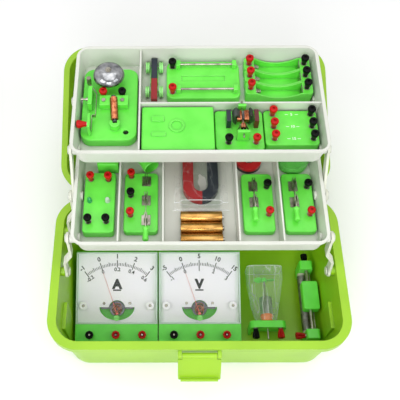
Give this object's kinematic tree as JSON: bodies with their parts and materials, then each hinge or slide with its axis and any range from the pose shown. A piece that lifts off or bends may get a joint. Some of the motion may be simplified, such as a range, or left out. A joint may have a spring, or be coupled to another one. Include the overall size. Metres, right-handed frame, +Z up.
{
  "type": "electricity and magnetism kit",
  "caption": "Folding kit case with a lid and two lift-out trays on swing arms, holding meters, switches, magnets, a bell, a motor model and other electricity modules.",
  "frame": {"origin": "centre of the case's flat underside", "axes": "+X along the case to the right seen from the latch side, +Y from the latch to the lid's hinge, +Z up"},
  "size_m": [0.355, 0.4331, 0.2556],
  "materials": {
    "green_case": "satin",
    "lid_plastic": "satin",
    "handle_plastic": "satin",
    "light_green_plastic": "satin",
    "dial_card": "printed",
    "clear_plastic": "clear",
    "copper_parts": "satin",
    "red_plastic": "gloss",
    "black_plastic": "gloss",
    "nickel": "polished",
    "motor_steel": "satin",
    "clear_film": "crinkled",
    "resistance_wire": "dark",
    "ceramic_tube": "matt",
    "white_plastic": "satin",
    "off_white_plastic": "satin",
    "magnet_paint": "gloss",
    "cell_jacket": "gloss",
    "led_resin": "clear gloss",
    "needle_red": "matt",
    "spring_steel": "satin",
    "fan_plastic": "gloss"
  },
  "bodies": {
    "case": {"case_base": "green_case", "case_pins": "off_white_plastic", "meter_cases": "light_green_plastic", "meter_dials": "dial_card", "meter_windows": "clear_plastic", "meter_movements": "copper_parts", "base_red_caps": "red_plastic", "base_black_caps": "black_plastic", "base_studs": "nickel", "motor_can": "motor_steel", "motor_bracket": "light_green_plastic", "motor_bag": "clear_film", "rheostat_frame": "light_green_plastic", "rheostat_tube": "ceramic_tube", "rheostat_winding": "resistance_wire", "rheostat_rods": "nickel"},
    "mid_tray": {"mid_tray": "white_plastic", "switch_boards": "light_green_plastic", "leds": "led_resin", "switch_contacts": "nickel", "mid_red_caps": "red_plastic", "mid_black_caps": "black_plastic", "horseshoe_magnet": "magnet_paint", "magnet_bag": "clear_film", "aa_cells": "cell_jacket", "ring_magnets": "magnet_paint", "parts_cases": "white_plastic"},
    "upper_tray": {"upper_tray": "white_plastic", "bell_base": "light_green_plastic", "bell_gong": "nickel", "bell_coil": "copper_parts", "upper_boards": "light_green_plastic", "battery_holders": "light_green_plastic", "upper_metal_parts": "nickel", "upper_red_caps": "red_plastic", "upper_black_caps": "black_plastic", "trolley_frame": "light_green_plastic", "bar_magnet": "magnet_paint", "motor_model": "light_green_plastic", "field_magnets": "magnet_paint"},
    "lid": {"lid": "lid_plastic"},
    "carry_handle": {"carry_handle": "handle_plastic"},
    "latch": {"latch": "green_case"},
    "lower_front_arms": {"lower_front_arms": "off_white_plastic"},
    "lower_rear_arms": {"lower_rear_arms": "off_white_plastic"},
    "upper_front_arms": {"upper_front_arms": "off_white_plastic"},
    "upper_rear_arms": {"upper_rear_arms": "off_white_plastic"},
    "bell_clapper": {"bell_clapper": "spring_steel"},
    "front_wheels": {"front_wheels": "light_green_plastic"},
    "rear_wheels": {"rear_wheels": "light_green_plastic"},
    "armature": {"armature": "copper_parts"},
    "ammeter_needle": {"ammeter_needle": "needle_red"},
    "voltmeter_needle": {"voltmeter_needle": "needle_red"},
    "ammeter_zero_knob": {"ammeter_zero_knob": "light_green_plastic"},
    "voltmeter_zero_knob": {"voltmeter_zero_knob": "light_green_plastic"},
    "motor_rotor": {"motor_rotor": "fan_plastic"},
    "rheostat_slider": {"rheostat_slider": "light_green_plastic"},
    "double_throw_blade": {"double_throw_blade": "nickel"},
    "left_switch_blade": {"left_switch_blade": "nickel"},
    "right_switch_blade": {"right_switch_blade": "nickel"}
  },
  "joints": [
    {"name": "lid_hinge", "type": "hinge", "parent": "case", "child": "lid", "pos_m": [0, 0.104, 0.112], "axis": [1, 0, 0], "range_deg": [0, 162]},
    {"name": "lower_front_arm_swing", "type": "hinge", "parent": "case", "child": "lower_front_arms", "pos_m": [0, 0.0005, 0.103], "axis": [1, 0, 0], "range_deg": [0, 130]},
    {"name": "lower_rear_arm_swing", "type": "hinge", "parent": "case", "child": "lower_rear_arms", "pos_m": [0, 0.0555, 0.103], "axis": [1, 0, 0], "range_deg": [0, 130]},
    {"name": "mid_tray_swing", "type": "hinge", "parent": "lower_rear_arms", "child": "mid_tray", "pos_m": [0, 0.06766, 0.17194], "axis": [1, 0, 0], "range_deg": [-130, 0]},
    {"name": "upper_front_arm_swing", "type": "hinge", "parent": "mid_tray", "child": "upper_front_arms", "pos_m": [0, 0.06766, 0.17194], "axis": [1, 0, 0], "range_deg": [0, 95.2]},
    {"name": "upper_rear_arm_swing", "type": "hinge", "parent": "mid_tray", "child": "upper_rear_arms", "pos_m": [0, 0.13645, 0.17194], "axis": [1, 0, 0], "range_deg": [0, 95.2]},
    {"name": "upper_tray_swing", "type": "hinge", "parent": "upper_front_arms", "child": "upper_tray", "pos_m": [0, 0.10113, 0.21992], "axis": [1, 0, 0], "range_deg": [-95.2, 0]},
    {"name": "latch_hinge", "type": "hinge", "parent": "case", "child": "latch", "pos_m": [0, -0.1045, 0.104], "axis": [-1, 0, 0], "range_deg": [0, 150]},
    {"name": "carry_handle_swing", "type": "hinge", "parent": "lid", "child": "carry_handle", "pos_m": [0, 0.21864, 0.09573], "axis": [1, 0, 0], "range_deg": [0, 90]},
    {"name": "ammeter_needle_swing", "type": "hinge", "parent": "case", "child": "ammeter_needle", "pos_m": [-0.1035, -0.02831, 0.02917], "axis": [0, -0.342, 0.9397], "range_deg": [-57, 19], "stiffness_Nm_per_rad": 0.00002},
    {"name": "ammeter_zero_adjust", "type": "hinge", "parent": "case", "child": "ammeter_zero_knob", "pos_m": [-0.1035, -0.03348, 0.02729], "axis": [0, -0.342, 0.9397], "range_deg": [-60, 60]},
    {"name": "voltmeter_needle_swing", "type": "hinge", "parent": "case", "child": "voltmeter_needle", "pos_m": [0.0049, -0.02831, 0.02917], "axis": [0, -0.342, 0.9397], "range_deg": [-57, 19], "stiffness_Nm_per_rad": 0.00002},
    {"name": "voltmeter_zero_adjust", "type": "hinge", "parent": "case", "child": "voltmeter_zero_knob", "pos_m": [0.0049, -0.03348, 0.02729], "axis": [0, -0.342, 0.9397], "range_deg": [-60, 60]},
    {"name": "motor_spin", "type": "hinge", "parent": "case", "child": "motor_rotor", "pos_m": [0.092, 0, 0.027], "axis": [0, 1, 0], "continuous": true},
    {"name": "rheostat_slide", "type": "slide", "parent": "case", "child": "rheostat_slider", "axis": [0, 1, 0], "range_m": [-0.025, 0.016]},
    {"name": "double_throw_switch", "type": "hinge", "parent": "mid_tray", "child": "double_throw_blade", "pos_m": [-0.0614, 0.06096, 0.17904], "axis": [1, 0, 0], "range_deg": [-95, 0]},
    {"name": "left_switch", "type": "hinge", "parent": "mid_tray", "child": "left_switch_blade", "pos_m": [0.065, 0.07945, 0.17904], "axis": [1, 0, 0], "range_deg": [-75, 0]},
    {"name": "right_switch", "type": "hinge", "parent": "mid_tray", "child": "right_switch_blade", "pos_m": [0.1124, 0.07945, 0.17904], "axis": [1, 0, 0], "range_deg": [-75, 0]},
    {"name": "bell_clapper_swing", "type": "hinge", "parent": "upper_tray", "child": "bell_clapper", "pos_m": [-0.12265, 0.11703, 0.23552], "axis": [0, 0, 1], "range_deg": [-2.2, 0], "stiffness_Nm_per_rad": 0.02},
    {"name": "armature_spin", "type": "hinge", "parent": "upper_tray", "child": "armature", "pos_m": [0.049, 0.13003, 0.24402], "axis": [0, 1, 0], "continuous": true},
    {"name": "front_wheels_spin", "type": "hinge", "parent": "upper_tray", "child": "front_wheels", "pos_m": [-0.0518, 0.18103, 0.22402], "axis": [1, 0, 0], "continuous": true},
    {"name": "rear_wheels_spin", "type": "hinge", "parent": "upper_tray", "child": "rear_wheels", "pos_m": [-0.0518, 0.21803, 0.22402], "axis": [1, 0, 0], "continuous": true}
  ],
  "couplings": [
    {"joint": "lower_front_arm_swing", "follows": "lid_hinge", "ratio": 0.80247},
    {"joint": "lower_rear_arm_swing", "follows": "lid_hinge", "ratio": 0.80247},
    {"joint": "mid_tray_swing", "follows": "lid_hinge", "ratio": -0.80247},
    {"joint": "upper_front_arm_swing", "follows": "lid_hinge", "ratio": 0.58765},
    {"joint": "upper_rear_arm_swing", "follows": "lid_hinge", "ratio": 0.58765},
    {"joint": "upper_tray_swing", "follows": "lid_hinge", "ratio": -0.58765}
  ]
}
